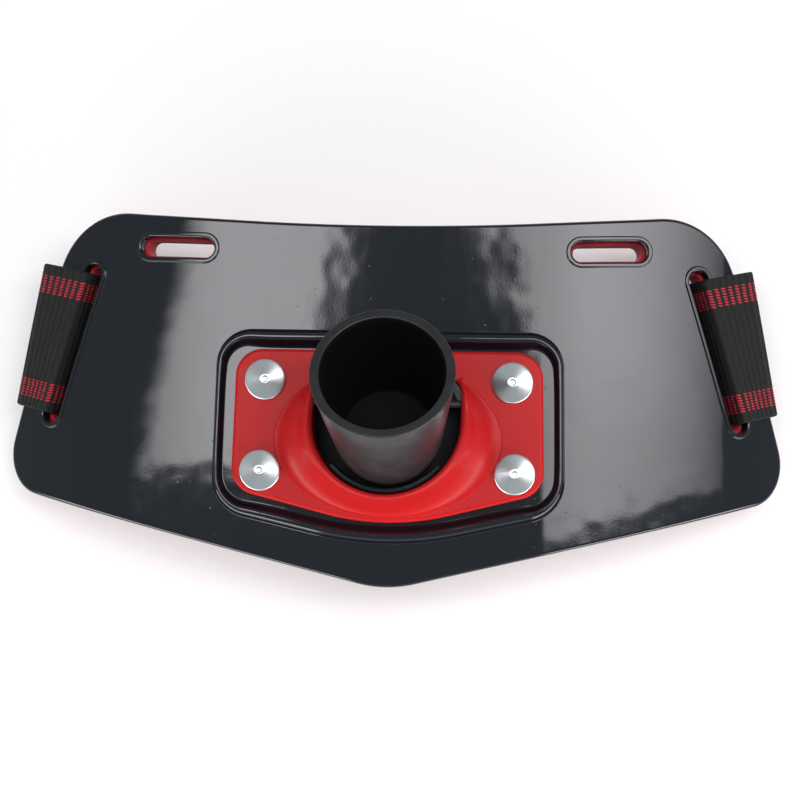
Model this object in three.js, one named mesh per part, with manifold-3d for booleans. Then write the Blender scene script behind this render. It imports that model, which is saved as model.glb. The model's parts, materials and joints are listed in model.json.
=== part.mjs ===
// A fishing fighting belt: a bent moulded plate with a foam back pad, a red pivot housing
// riveted on its front, a tilting rod cup on a cross pin, and a webbing belt looped through
// the plate's side slots. It lies on its back: +X is the wearer's left, +Y is up towards the
// chest and +Z points away from the body. Lengths are millimetres.
import * as THREE from "three";
import { mergeVertices } from "three/addons/utils/BufferGeometryUtils.js";
import Module from "manifold-3d";

const wasm = await Module();
wasm.setup();

// Driving dimensions of the fits
const gap = 0.3;                  // clearance between pieces that touch
const rodLean = 23.5;             // degrees between the cup's axis and the plate's normal

// Driving dimensions of the plate, measured along its bent surface
const flatHalf = 50;              // half width of the flat middle
const bendRadius = 140;           // radius of the two wings
const shellThickness = 3;
const padThickness = 8;
const padInset = 1.5;             // how far the pad stays inside the shell's edge
const topMiddle = 59;             // top edge above the reference line at the middle
const topRise = 6.4;              // how much higher the top corners are than the middle
const topCornerHalf = 112;
const lowCornerHalf = 143.7;
const lowCornerDrop = 28.7;
const tipDrop = 63.4;
const topCornerRadius = 27;
const lowCornerRadius = 15;
const tipRadius = 40;

// Driving dimensions of the four slots
const topSlot = { along: 73, up: 51, length: 26, width: 7, turn: 2.4 };
const sideSlot = { up: 19, inset: 14.4, width: 7, spareLength: 6.6 };
const slotLip = { width: 1.5, height: 0.6 };
const padSlotInset = 0.8;         // how much tighter the slots are in the pad
const cutOver = 1;                // how far a slot's cut goes past the pad's faces

// Driving dimensions of the red pivot housing
const cover = { top: 16.3, topHalf: 51, lowSpread: 1, lowDrop: 30.5, tip: 43.6,
  cornerRadius: 9, lowRadius: 9, tipRadius: 85, thickness: 3.4, round: 0.8 };
const coverLowHalf = cover.topHalf + cover.lowSpread;
const mouthRadius = 24.3;         // round lower half of the hole that the cup stands in
const mouthDrop = 8;              // its centre below the reference line
const mouthTop = 9;               // its flat upper end above the reference line
const mouthCorner = 8;
const collar = { footInset: 13.5, footUp: 25.5, footDrop: 13.8, height: 16.3, fadeUp: 6,
  shoulder: 0.5, edge: 1.2, rim: 0.5, leastFlare: 1, centreRise: 3 };
const stopLip = { width: 2, top: 16.3, halfAngle: 50 };

// Driving dimensions of the raised bead, and of the clear tray between it and the housing
const bead = { cornerRadius: 12, lowRadius: 14, tipRadius: 110, width: 6.5, height: 2.6,
  round: 1.1 };
const tray = { top: 0.5, side: 0.5, low: 0.5, tip: 0.9 };

// Driving dimensions of the cup and its pin
const cup = { length: 46, mouthRadius: 22.8, baseRadius: 17, wall: 3, floor: 7, round: 1.2 };
const cupBase = { slide: 0.9, up: -14.3, height: 8.9 };
const pinRadius = 1.6;
const pinUp = -2;
const pinHeight = 7;
const pinSeat = 2.7;              // how deep each end sits in the housing's wall

// Driving dimensions of the rivets
const rivet = { headRadius: 6.8, headHeight: 2.6, rimHeight: 0.8, shoulder: 0.9,
  shoulderHeight: 1.3, dimple: 1.2, dimpleDepth: 0.2, shank: 2.4, tailRadius: 4,
  tailHeight: 1.2 };
const rivetInset = { upperSide: 9.9, upperEnd: 10.4, lowerSide: 9.8, lowerEnd: 6.1 };
const rivetRows = [
  { name: "upper", half: cover.topHalf - rivetInset.upperSide,
    up: cover.top - rivetInset.upperEnd },
  { name: "lower", half: coverLowHalf - rivetInset.lowerSide,
    up: rivetInset.lowerEnd - cover.lowDrop },
];

// Driving dimensions of the webbing and the plain buckle behind the plate
const webbing = { width: 50, thickness: 1.7, lean: 13, play: 0.35, slotPlay: 0.55, turn: 2.2,
  slotTurn: 6.6, outerTurn: 4.5, foldPlay: 1 };
const tailLength = 32;            // doubled stretch sewn behind each slot and at the buckle
const tailRamp = 11;              // from the buckle's bar to where the sewn tail lies flat
const tailTurn = 3;
const buckle = { bar: 5, opening: 11, rail: 5, thickness: 3.5, round: 0.6, corner: 5 };

const bendStep = 3;               // degrees of bend for each facet of the wings
const slotBendStep = 2;           // and for each facet of the slots, whose walls twist
const rad = THREE.MathUtils.degToRad;
const plateDepth = shellThickness + gap + padThickness;

// Maps a point of the flat pattern, and a height over the front face, to the bent plate
function bend(along, up, height) {
  const side = Math.sign(along);
  const turn = Math.max(0, Math.abs(along) - flatHalf) / bendRadius;
  const flat = Math.min(Math.abs(along), flatHalf);
  const x = side * (flat + (bendRadius + height) * Math.sin(turn));
  const z = (bendRadius + height) * Math.cos(turn) - bendRadius;
  return new THREE.Vector3(x, up, z);
}

// Rounds the corners of a closed outline; each row is { x, y, r }
function roundCorners(rows, steps = 6) {
  const points = [];
  rows.forEach((row, i) => {
    const corner = new THREE.Vector2(row.x, row.y);
    if (!row.r) {
      points.push(corner);
      return;
    }
    const before = rows[(i + rows.length - 1) % rows.length];
    const after = rows[(i + 1) % rows.length];
    const a = new THREE.Vector2(before.x, before.y).sub(corner).normalize();
    const b = new THREE.Vector2(after.x, after.y).sub(corner).normalize();
    const half = Math.acos(THREE.MathUtils.clamp(a.dot(b), -1, 1)) / 2;
    const centre = a.clone().add(b).normalize().multiplyScalar(row.r / Math.sin(half)).add(corner);
    const start = a.clone().multiplyScalar(row.r / Math.tan(half)).add(corner).sub(centre);
    const end = b.clone().multiplyScalar(row.r / Math.tan(half)).add(corner).sub(centre);
    let sweep = end.angle() - start.angle();
    if (sweep > Math.PI) sweep -= 2 * Math.PI;
    if (sweep < -Math.PI) sweep += 2 * Math.PI;
    for (let k = 0; k <= steps; k++) {
      points.push(start.clone().rotateAround(new THREE.Vector2(), sweep * k / steps).add(centre));
    }
  });
  return points;
}

// Moves every point of a closed anticlockwise outline inwards
function insetOutline(points, distance) {
  return points.map((point, i) => {
    const before = points[(i + points.length - 1) % points.length];
    const after = points[(i + 1) % points.length];
    const a = point.clone().sub(before).normalize();
    const b = after.clone().sub(point).normalize();
    const inward = new THREE.Vector2(-a.y - b.y, a.x + b.x);
    return inward.multiplyScalar(distance / (1 + a.dot(b))).add(point);
  });
}

// The plate's outline in the flat pattern, anticlockwise from the tip
function plateOutline() {
  const rows = [
    { x: 0, y: -tipDrop, r: tipRadius },
    { x: lowCornerHalf, y: -lowCornerDrop, r: lowCornerRadius },
    { x: topCornerHalf, y: topMiddle + topRise, r: topCornerRadius },
  ];
  for (const share of [0.75, 0.5, 0.25, 0, -0.25, -0.5, -0.75]) {
    rows.push({ x: share * topCornerHalf, y: topMiddle + topRise * share ** 2, r: 0 });
  }
  rows.push({ x: -topCornerHalf, y: topMiddle + topRise, r: topCornerRadius });
  rows.push({ x: -lowCornerHalf, y: -lowCornerDrop, r: lowCornerRadius });
  return roundCorners(rows);
}

function coverOutline() {
  return shieldOutline({ ...cover, lowHalf: coverLowHalf });
}

function beadOutline() {
  return shieldOutline({ ...bead, top: cover.top + tray.top + bead.width,
    topHalf: cover.topHalf + tray.side + bead.width,
    lowHalf: coverLowHalf + tray.side + bead.width,
    lowDrop: cover.lowDrop + tray.low + bead.width, tip: cover.tip + tray.tip + bead.width });
}

// Outline shared by the bead and the cover: flat top, drawn-out sides, pointed bottom
function shieldOutline(shield) {
  return roundCorners([
    { x: 0, y: -shield.tip, r: shield.tipRadius },
    { x: shield.lowHalf, y: -shield.lowDrop, r: shield.lowRadius },
    { x: shield.topHalf, y: shield.top, r: shield.cornerRadius },
    { x: -shield.topHalf, y: shield.top, r: shield.cornerRadius },
    { x: -shield.lowHalf, y: -shield.lowDrop, r: shield.lowRadius },
  ], 5);
}

// Hole in the cover: half round below, rounded corners above
function mouthOutline() {
  const points = [];
  const steps = 24;
  for (let k = 0; k <= steps; k++) {
    const angle = Math.PI + Math.PI * k / steps;
    points.push(new THREE.Vector2(mouthRadius * Math.cos(angle),
      mouthRadius * Math.sin(angle) - mouthDrop));
  }
  const corners = roundCorners([
    { x: mouthRadius, y: -mouthDrop, r: 0 },
    { x: mouthRadius, y: mouthTop, r: mouthCorner },
    { x: -mouthRadius, y: mouthTop, r: mouthCorner },
    { x: -mouthRadius, y: -mouthDrop, r: 0 },
  ], 4);
  return points.concat(corners.slice(1, -1));
}

// A slot with round ends, lying along X
function slotOutline(length, width) {
  const half = (length - width) / 2;
  const points = [];
  const steps = 5;
  for (const side of [1, -1]) {
    for (let k = 0; k <= steps; k++) {
      const angle = Math.PI * (k / steps - 0.5);
      points.push(new THREE.Vector2(side * (half + width / 2 * Math.cos(angle)),
        side * width / 2 * Math.sin(angle)));
    }
  }
  return points;
}

// Joins and cuts
function toSolid(geometry) {
  const bare = geometry.clone();
  bare.deleteAttribute("normal");
  bare.deleteAttribute("uv");
  const merged = mergeVertices(bare, 1e-4);
  return new wasm.Manifold(new wasm.Mesh({
    numProp: 3,
    vertProperties: new Float32Array(merged.attributes.position.array),
    triVerts: new Uint32Array(merged.index.array),
  }));
}

function toGeometry(solid) {
  const mesh = solid.getMesh();
  const geometry = new THREE.BufferGeometry();
  geometry.setAttribute("position", new THREE.BufferAttribute(mesh.vertProperties, 3));
  geometry.setIndex(new THREE.BufferAttribute(mesh.triVerts, 1));
  return geometry;
}

// Closed surface from rows of points: a tube of rows when closed, with both ends capped
function skinRows(rows, capped) {
  const count = rows[0].length;
  const positions = rows.flat().flatMap((point) => point.toArray());
  const index = [];
  const last = capped ? rows.length - 1 : rows.length;
  for (let i = 0; i < last; i++) {
    const next = (i + 1) % rows.length;
    for (let j = 0; j < count; j++) {
      const k = (j + 1) % count;
      const [a, b, c, d] = [i * count + j, i * count + k, next * count + k, next * count + j];
      index.push(a, b, c, a, c, d);
    }
  }
  if (capped) {
    const end = (rows.length - 1) * count;
    for (let j = 1; j < count - 1; j++) {
      index.push(0, j + 1, j, end, end + j, end + j + 1);
    }
  }
  const geometry = new THREE.BufferGeometry();
  geometry.setAttribute("position", new THREE.Float32BufferAttribute(positions, 3));
  geometry.setIndex(index);
  return dropEmptyFaces(mergeVertices(geometry, 1e-4));
}

function dropEmptyFaces(geometry) {
  const old = geometry.index.array;
  const kept = [];
  for (let i = 0; i < old.length; i += 3) {
    const [a, b, c] = [old[i], old[i + 1], old[i + 2]];
    if (a !== b && b !== c && c !== a) kept.push(a, b, c);
  }
  geometry.setIndex(kept);
  return geometry;
}

function heightAt(chain, along) {
  const after = Math.max(1, chain.findIndex((point) => point.x >= along - 1e-9));
  const [a, b] = [chain[after - 1], chain[after]];
  const share = (along - a.x) / Math.max(1e-9, b.x - a.x);
  return THREE.MathUtils.lerp(a.y, b.y, THREE.MathUtils.clamp(share, 0, 1));
}

// A sheet cut to an anticlockwise outline of the flat pattern and bent with the plate,
// between two heights. The outline is split into a lower and an upper chain.
function bentSheet(outline, low, high, step = bendStep) {
  const first = outline.reduce((best, point, i) => (point.x < outline[best].x ? i : best), 0);
  const walk = [...outline.slice(first), ...outline.slice(0, first + 1)];
  const turn = walk.reduce((best, point, i) => (point.x > walk[best].x ? i : best), 0);
  const lower = walk.slice(0, turn + 1);
  const upper = walk.slice(turn).reverse();
  const [left, right] = [walk[0].x, walk[turn].x];
  const facet = bendRadius * rad(step);
  const stations = outline.map((point) => point.x);
  for (let along = flatHalf; along < Math.max(-left, right); along += facet) {
    stations.push(...[along, -along].filter((x) => x > left && x < right));
  }
  stations.sort((a, b) => a - b);
  const columns = stations.filter((along, i) => i === 0 || along - stations[i - 1] > 0.02);
  columns[columns.length - 1] = right;
  const rows = columns.map((along) => {
    const [floor, roof] = [heightAt(lower, along), heightAt(upper, along)];
    return [bend(along, floor, low), bend(along, roof, low), bend(along, roof, high),
      bend(along, floor, high)];
  });
  return toSolid(skinRows(rows, true));
}

function prism(outline, low, high, matrix) {
  const geometry = new THREE.ExtrudeGeometry(new THREE.Shape(outline),
    { depth: high - low, bevelEnabled: false });
  geometry.translate(0, 0, low);
  if (matrix) geometry.applyMatrix4(matrix);
  return toSolid(geometry);
}

// A prism whose upper and lower edges are rounded off
function softPrism(outline, holes, low, high, round, steps = 1) {
  const shape = new THREE.Shape(outline);
  shape.holes = holes.map((points) => new THREE.Path(points));
  const geometry = new THREE.ExtrudeGeometry(shape, { depth: high - low - 2 * round,
    bevelThickness: round, bevelSize: round, bevelOffset: -round, bevelSegments: steps });
  geometry.translate(0, 0, low + round);
  return toSolid(geometry);
}

function turned(profile, sides) {
  const points = profile.map(([radius, height]) => new THREE.Vector2(radius, height));
  const geometry = new THREE.LatheGeometry(points, sides);
  geometry.rotateX(Math.PI / 2);
  return dropEmptyFaces(mergeVertices(stripped(geometry), 1e-4));
}

function stripped(geometry) {
  geometry.deleteAttribute("normal");
  geometry.deleteAttribute("uv");
  return geometry;
}

function rod(radius, length, sides) {
  const geometry = new THREE.CylinderGeometry(radius, radius, length, sides);
  geometry.rotateZ(Math.PI / 2);
  return toSolid(geometry);
}

// Places of the slots in the flat pattern
const edgeLean = Math.atan2(lowCornerHalf - topCornerHalf, topMiddle + topRise + lowCornerDrop);
const edgeAt = (up) => lowCornerHalf - (up + lowCornerDrop) * Math.tan(edgeLean);
const sideSlotAlong = edgeAt(sideSlot.up) - sideSlot.inset / Math.cos(edgeLean);
const sideSlotLength = webbing.width / Math.cos(edgeLean - rad(webbing.lean)) +
  sideSlot.spareLength;

function slotPlaces() {
  const places = [];
  for (const side of [1, -1]) {
    places.push({ along: side * topSlot.along, up: topSlot.up, turn: side * topSlot.turn,
      length: topSlot.length, width: topSlot.width });
    places.push({ along: side * sideSlotAlong, up: sideSlot.up,
      turn: 90 + side * THREE.MathUtils.radToDeg(edgeLean), length: sideSlotLength,
      width: sideSlot.width });
  }
  return places;
}

// The slot's own outline follows the bend, because a long slanted slot crosses several facets
function bentSlot(place, grow, low, high) {
  const outline = slotOutline(place.length + 2 * grow, place.width + 2 * grow);
  const pivot = new THREE.Vector2();
  const placed = outline.map((point) => point.clone().rotateAround(pivot, rad(place.turn))
    .add(new THREE.Vector2(place.along, place.up)));
  return bentSheet(placed, low, high, slotBendStep);
}

function makeShell() {
  let solid = bentSheet(plateOutline(), -shellThickness, 0);
  const outer = beadOutline();
  const inner = insetOutline(outer, bead.width);
  const sunk = shellThickness / 2;
  solid = solid.add(softPrism(outer, [inner], -sunk, bead.height, bead.round));
  solid = solid.add(makeStopLip());
  for (const place of slotPlaces()) {
    solid = solid.add(bentSlot(place, slotLip.width, -shellThickness / 2, slotLip.height));
    solid = solid.subtract(bentSlot(place, 0, -2 * shellThickness, 2 * shellThickness));
  }
  for (const { at } of rivetPlaces()) {
    solid = solid.subtract(shaftHole(at, -2 * shellThickness, 2 * shellThickness));
  }
  return toGeometry(solid);
}

// Black rim inside the red collar, which the cup leans on
function makeStopLip() {
  const outer = mouthRadius - gap;
  const shape = new THREE.Shape();
  const start = -Math.PI / 2 - rad(stopLip.halfAngle);
  const end = -Math.PI / 2 + rad(stopLip.halfAngle);
  shape.absarc(0, -mouthDrop, outer, start, end, false);
  shape.absarc(0, -mouthDrop, outer - stopLip.width, end, start, true);
  const sunk = shellThickness / 2;
  const geometry = new THREE.ExtrudeGeometry(shape, { depth: stopLip.top + sunk,
    bevelEnabled: false, curveSegments: 14 });
  geometry.translate(0, 0, -sunk);
  return toSolid(geometry);
}

function shaftHole(at, low, high) {
  const circle = new THREE.EllipseCurve(0, 0, rivet.shank + gap, rivet.shank + gap)
    .getPoints(16).slice(0, -1);
  return prism(circle, low, high, new THREE.Matrix4().makeTranslation(at.x, at.y, 0));
}

function makePad() {
  const high = -shellThickness - gap;
  let solid = bentSheet(insetOutline(plateOutline(), padInset), -plateDepth, high);
  for (const place of slotPlaces()) {
    solid = solid.subtract(bentSlot(place, -padSlotInset, -plateDepth - cutOver, high + cutOver));
  }
  for (const { at } of rivetPlaces()) {
    const radius = rivet.tailRadius + gap;
    const circle = new THREE.EllipseCurve(0, 0, radius, radius).getPoints(16).slice(0, -1);
    const place = new THREE.Matrix4().makeTranslation(at.x, at.y, 0);
    solid = solid.subtract(prism(circle, high - rivet.tailHeight - gap, plateDepth, place));
  }
  return toGeometry(solid);
}

// Distance from the mouth's middle to an outline, in one direction
function reach(outline, centre, angle) {
  const direction = new THREE.Vector2(Math.cos(angle), Math.sin(angle));
  let best = 0;
  outline.forEach((a, i) => {
    const b = outline[(i + 1) % outline.length];
    const edge = b.clone().sub(a);
    const offset = a.clone().sub(centre);
    const cross = direction.cross(edge);
    if (Math.abs(cross) < 1e-9) return;
    const distance = offset.cross(edge) / cross;
    const share = offset.cross(direction) / cross;
    if (share >= -1e-6 && share <= 1 + 1e-6) best = Math.max(best, distance);
  });
  return best;
}

const coverTop = gap + cover.thickness;

// Height of the collar's crest: full below the cup, fading out beside it
function crestHeight(up) {
  const lowest = -mouthDrop - mouthRadius;
  const share = THREE.MathUtils.clamp((collar.fadeUp - up) / (collar.fadeUp - lowest), 0, 1);
  return coverTop + Math.max(collar.rim, collar.height * share ** collar.shoulder);
}

// Flared wall round the mouth, as rows from the inside bottom over the crest to the foot
function makeCollar() {
  const mouth = mouthOutline();
  const centre = new THREE.Vector2(0, collar.centreRise - collar.footDrop);
  const footSteps = 96;
  const footHalf = cover.topHalf - collar.footInset;
  const foot = new THREE.EllipseCurve(0, -collar.footDrop, footHalf, collar.footUp)
    .getPoints(footSteps).slice(0, -1);
  const profile = [
    { out: -1, flare: 0, drop: 1 },
    { out: -1, flare: 0, drop: 0.12 },
    { out: 0.4, flare: 0, drop: 0 },
    { out: 1, flare: 0.02, drop: 0 },
    { out: 1, flare: 0.12, drop: 0.1 },
    { out: 1, flare: 0.3, drop: 0.42 },
    { out: 1, flare: 0.55, drop: 0.74 },
    { out: 1, flare: 0.8, drop: 0.94 },
    { out: 1, flare: 1, drop: 1 },
  ];
  const sides = 64;
  const rows = [];
  for (let k = 0; k < sides; k++) {
    const angle = 2 * Math.PI * k / sides;
    const near = reach(mouth, centre, angle);
    const far = Math.max(reach(foot, centre, angle), near + collar.edge + collar.leastFlare);
    const crest = crestHeight(centre.y + near * Math.sin(angle));
    const base = coverTop - cover.thickness / 2;
    const row = profile.map(({ out, flare, drop }) => {
      const radius = THREE.MathUtils.lerp(near + collar.edge * out, far, flare);
      const height = THREE.MathUtils.lerp(crest, base, drop);
      return new THREE.Vector3(centre.x + radius * Math.cos(angle),
        centre.y + radius * Math.sin(angle), height);
    });
    const [first, end] = [row[0], row[row.length - 1]];
    row.push(new THREE.Vector3(end.x, end.y, gap + cover.round));
    row.push(new THREE.Vector3(first.x, first.y, gap + cover.round));
    rows.push(row);
  }
  return toSolid(skinRows(rows, false));
}

function makeHousing() {
  let solid = softPrism(coverOutline(), [], gap, coverTop, cover.round, 2);
  solid = solid.add(makeCollar());
  solid = solid.subtract(prism(mouthOutline(), -cover.thickness, coverTop + collar.height * 2));
  const seat = rod(pinRadius + gap, 2 * (mouthRadius + pinSeat + gap), 20);
  solid = solid.subtract(seat.translate([0, pinUp, pinHeight]));
  for (const { at } of rivetPlaces()) {
    solid = solid.subtract(shaftHole(at, -cover.thickness, 2 * coverTop));
  }
  return toGeometry(solid);
}

// The cup is turned about its own axis, with its base at z = 0, and then tilted
function makeCup() {
  const innerBase = cup.baseRadius - cup.wall +
    (cup.mouthRadius - cup.baseRadius) * cup.floor / cup.length;
  const lip = cup.round;
  let solid = toSolid(turned([
    [0, 0],
    [cup.baseRadius - lip, 0],
    [cup.baseRadius, lip],
    [cup.mouthRadius, cup.length - lip / 2],
    [cup.mouthRadius - lip / 2, cup.length],
    [cup.mouthRadius - cup.wall + lip / 2, cup.length],
    [cup.mouthRadius - cup.wall, cup.length - lip / 2],
    [innerBase, cup.floor + lip],
    [innerBase - lip, cup.floor],
    [0, cup.floor],
  ], 40));
  const lean = rad(rodLean);
  const pinBack = new THREE.Vector2(pinUp - cupBase.up, pinHeight - cupBase.height)
    .rotateAround(new THREE.Vector2(), lean);
  const bore = rod(pinRadius + gap, 3 * cup.mouthRadius, 20);
  solid = solid.subtract(bore.translate([0, pinBack.x, pinBack.y]));
  return toGeometry(solid);
}

function rivetPlaces() {
  const places = [];
  for (const row of rivetRows) {
    for (const [side, word] of [[-1, "right"], [1, "left"]]) {
      places.push({ name: `rivet_${row.name}_${word}`,
        at: new THREE.Vector2(side * row.half, row.up) });
    }
  }
  return places;
}

// Head with a shallow cone, a shank through the stack and a flattened tail behind the shell
function makeRivet() {
  const seat = coverTop + gap;
  const back = -shellThickness - gap / 2;
  return turned([
    [0, back - rivet.tailHeight],
    [rivet.tailRadius - gap, back - rivet.tailHeight],
    [rivet.tailRadius, back - rivet.tailHeight / 2],
    [rivet.tailRadius, back],
    [rivet.shank, back],
    [rivet.shank, seat],
    [rivet.headRadius, seat],
    [rivet.headRadius, seat + rivet.rimHeight],
    [rivet.headRadius - rivet.shoulder, seat + rivet.shoulderHeight],
    [rivet.dimple, seat + rivet.headHeight],
    [0, seat + rivet.headHeight - rivet.dimpleDepth],
  ], 16);
}

// Heights of the doubled webbing that lies behind the plate
const edgeTurn = (edgeAt(0) - flatHalf) / bendRadius;
const underside = (bendRadius - plateDepth) * Math.cos(edgeTurn) - bendRadius;
const floorHeight = underside - webbing.thickness - 2 * gap;
const firstLayer = floorHeight + webbing.thickness / 2;
const secondLayer = firstLayer + webbing.thickness + gap;
const buckleBottom = floorHeight + webbing.thickness + webbing.play;
const overBar = buckleBottom + buckle.thickness + webbing.play + webbing.thickness / 2;
const buckleBarAt = buckle.bar + buckle.opening;
const foldAlong = sideSlot.inset + webbing.width / 2 * Math.tan(edgeLean - rad(webbing.lean)) +
  webbing.play + webbing.thickness / 2 + webbing.foldPlay;
const foldPlan = bend(sideSlotAlong + foldAlong * Math.cos(rad(webbing.lean)), 0, 0).x;
const foldUp = sideSlot.up + foldAlong * Math.sin(rad(webbing.lean));
const planSlope = Math.tan(rad(webbing.lean));
const planCurve = planSlope / (2 * (foldPlan - buckleBarAt));
const buckleUp = foldUp - planSlope * (foldPlan - buckleBarAt) / 2;

// Point on the floor layers behind the plate: the webbing swings gently to lie level
function behind(out, across, height) {
  const run = Math.max(0, out - buckleBarAt);
  const lean = Math.atan(2 * planCurve * run);
  return new THREE.Vector3(out - across * Math.sin(lean),
    buckleUp + planCurve * run ** 2 + across * Math.cos(lean), height);
}

// Point on the loop round the plate's side bar
function round(out, across, height) {
  const lean = rad(webbing.lean);
  return bend(sideSlotAlong + out * Math.cos(lean) - across * Math.sin(lean),
    sideSlot.up + out * Math.sin(lean) + across * Math.cos(lean), height);
}

// Goes from a point on the loop straight through the plate down to a floor layer
function dropTo(out, across, layer) {
  const [front, back] = [round(out, across, 0), round(out, across, -plateDepth)];
  const share = (layer - front.z) / (back.z - front.z);
  return front.lerp(back, share);
}

// One line of the webbing along its length, `across` from its middle; radius rounds the turns
function webbingLine(across) {
  const slot = -across * Math.tan(edgeLean - rad(webbing.lean)) +
    sideSlot.width / 2 - padSlotInset - webbing.slotPlay - webbing.thickness / 2;
  const front = slotLip.height + webbing.play + webbing.thickness / 2;
  const slotFoot = dropTo(slot, across, secondLayer);
  const line = [
    { at: behind(slotFoot.x + across * planSlope - tailLength, across, secondLayer), r: 0 },
    { at: slotFoot, r: webbing.slotTurn },
    { at: round(slot, across, -plateDepth), r: 0 },
    { at: round(slot, across, -plateDepth / 2), r: 0 },
    { at: round(slot, across, front), r: webbing.turn },
    { at: round(foldAlong, across, front), r: webbing.outerTurn },
    { at: dropTo(foldAlong, across, firstLayer), r: webbing.outerTurn },
  ];
  for (const share of [0.8, 0.6, 0.4, 0.2]) {
    line.push({ at: behind(THREE.MathUtils.lerp(buckleBarAt, foldPlan, share), across,
      firstLayer), r: 0 });
  }
  const inside = buckleBarAt - buckle.bar / 2 - webbing.play - webbing.thickness / 2;
  line.push({ at: behind(inside, across, firstLayer), r: webbing.turn });
  line.push({ at: behind(inside, across, overBar), r: webbing.turn });
  line.push({ at: behind(buckleBarAt + buckle.bar, across, overBar), r: webbing.turn });
  line.push({ at: behind(buckleBarAt + tailRamp, across, secondLayer), r: tailTurn });
  line.push({ at: behind(buckleBarAt + tailRamp + tailLength, across, secondLayer), r: 0 });
  return line;
}

function roundLine(line, steps) {
  const points = [];
  line.forEach(({ at, r }, i) => {
    if (!r) {
      points.push(at);
      return;
    }
    const before = line[i - 1].at.clone().sub(at);
    const after = line[i + 1].at.clone().sub(at);
    const cutBefore = at.clone().add(before.setLength(Math.min(r, before.length() * 0.49)));
    const cutAfter = at.clone().add(after.setLength(Math.min(r, after.length() * 0.49)));
    const curve = new THREE.QuadraticBezierCurve3(cutBefore, at, cutAfter);
    points.push(...curve.getPoints(steps));
  });
  return points;
}

// A flat band skinned over its centre lines, with the webbing's thickness
function makeStrap(side) {
  const strips = 3;
  const lines = [];
  for (let j = 0; j <= strips; j++) {
    lines.push(roundLine(webbingLine(webbing.width * (j / strips - 0.5)), 4));
  }
  const half = webbing.thickness / 2;
  const rows = lines[0].map((_, i) => {
    const [before, after] = [Math.max(0, i - 1), Math.min(lines[0].length - 1, i + 1)];
    const wide = lines[strips][i].clone().sub(lines[0][i]);
    const normals = lines.map((line) => line[after].clone().sub(line[before])
      .cross(wide).setLength(half));
    const top = lines.map((line, j) => line[i].clone().add(normals[j]));
    const bottom = lines.map((line, j) => line[i].clone().sub(normals[j]));
    return [...bottom, ...top.reverse()];
  });
  const geometry = skinRows(rows, true);
  return side > 0 ? geometry : mirrored(geometry);
}

function mirrored(geometry) {
  geometry.scale(-1, 1, 1);
  geometry.setIndex([...geometry.index.array].reverse());
  return geometry;
}

function makeBuckle() {
  const reachX = buckleBarAt + buckle.bar / 2;
  const openUp = webbing.width / 2 + webbing.play + gap;
  const reachY = openUp + buckle.rail;
  const block = (x, y, r, middle) => roundCorners([
    { x: middle - x, y: -y, r },
    { x: middle + x, y: -y, r },
    { x: middle + x, y, r },
    { x: middle - x, y, r },
  ], 4);
  const middle = buckleBarAt / 2;
  const half = (buckleBarAt - buckle.bar) / 2;
  const holes = [block(half, openUp, buckle.round * 2, -middle),
    block(half, openUp, buckle.round * 2, middle)];
  const solid = softPrism(block(reachX, reachY, buckle.corner, 0), holes, buckleBottom,
    buckleBottom + buckle.thickness, buckle.round);
  return toGeometry(solid.translate([0, buckleUp, 0]));
}

const finishes = {
  shell: { color: 0x0c0d11, roughness: 0.12, metalness: 0 },
  foam: { color: 0xa80f26, roughness: 0.85, metalness: 0 },
  cover: { color: 0xc81f26, roughness: 0.3, metalness: 0 },
  cup: { color: 0x17171a, roughness: 0.45, metalness: 0 },
  steel: { color: 0x9a9a9c, roughness: 0.35, metalness: 1 },
  rivet: { color: 0xd5d6d8, roughness: 0.28, metalness: 1 },
  webbing: { color: 0x141415, roughness: 0.8, metalness: 0 },
  buckle: { color: 0x121214, roughness: 0.4, metalness: 0 },
};

const belt = new THREE.Group();

function place(name, geometry, finish, position = new THREE.Vector3(), tilt = 0) {
  const mesh = new THREE.Mesh(geometry, new THREE.MeshStandardMaterial(finishes[finish]));
  mesh.name = name;
  mesh.position.copy(position);
  mesh.rotation.x = tilt;
  belt.add(mesh);
}

place("shell", makeShell(), "shell");
place("back_pad", makePad(), "foam");
place("pivot_housing", makeHousing(), "cover");
place("rod_cup", makeCup(), "cup",
  new THREE.Vector3(cupBase.slide, cupBase.up, cupBase.height), -rad(rodLean));
place("pivot_pin", toGeometry(rod(pinRadius, 2 * (mouthRadius + pinSeat), 20)), "steel",
  new THREE.Vector3(0, pinUp, pinHeight));
for (const { name, at } of rivetPlaces()) {
  place(name, makeRivet(), "rivet", new THREE.Vector3(at.x, at.y, 0));
}
place("strap_left", makeStrap(1), "webbing");
place("strap_right", makeStrap(-1), "webbing");
place("belt_buckle", makeBuckle(), "buckle");

// The origin is the middle of the belt's footprint, on the surface that it lies on
const extent = new THREE.Box3().setFromObject(belt, true);
const middle = extent.getCenter(new THREE.Vector3());
belt.position.set(-middle.x, -middle.y, -extent.min.z);

export default belt;
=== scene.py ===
"""A fishing fighting belt on a pale floor: glossy black plate, red pivot housing, rod cup,
foam back pad and ribbed webbing. It lies on its back and is seen from above."""

import json
import math

import bmesh
import bpy
import numpy as np
from mathutils import Matrix, Vector


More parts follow.
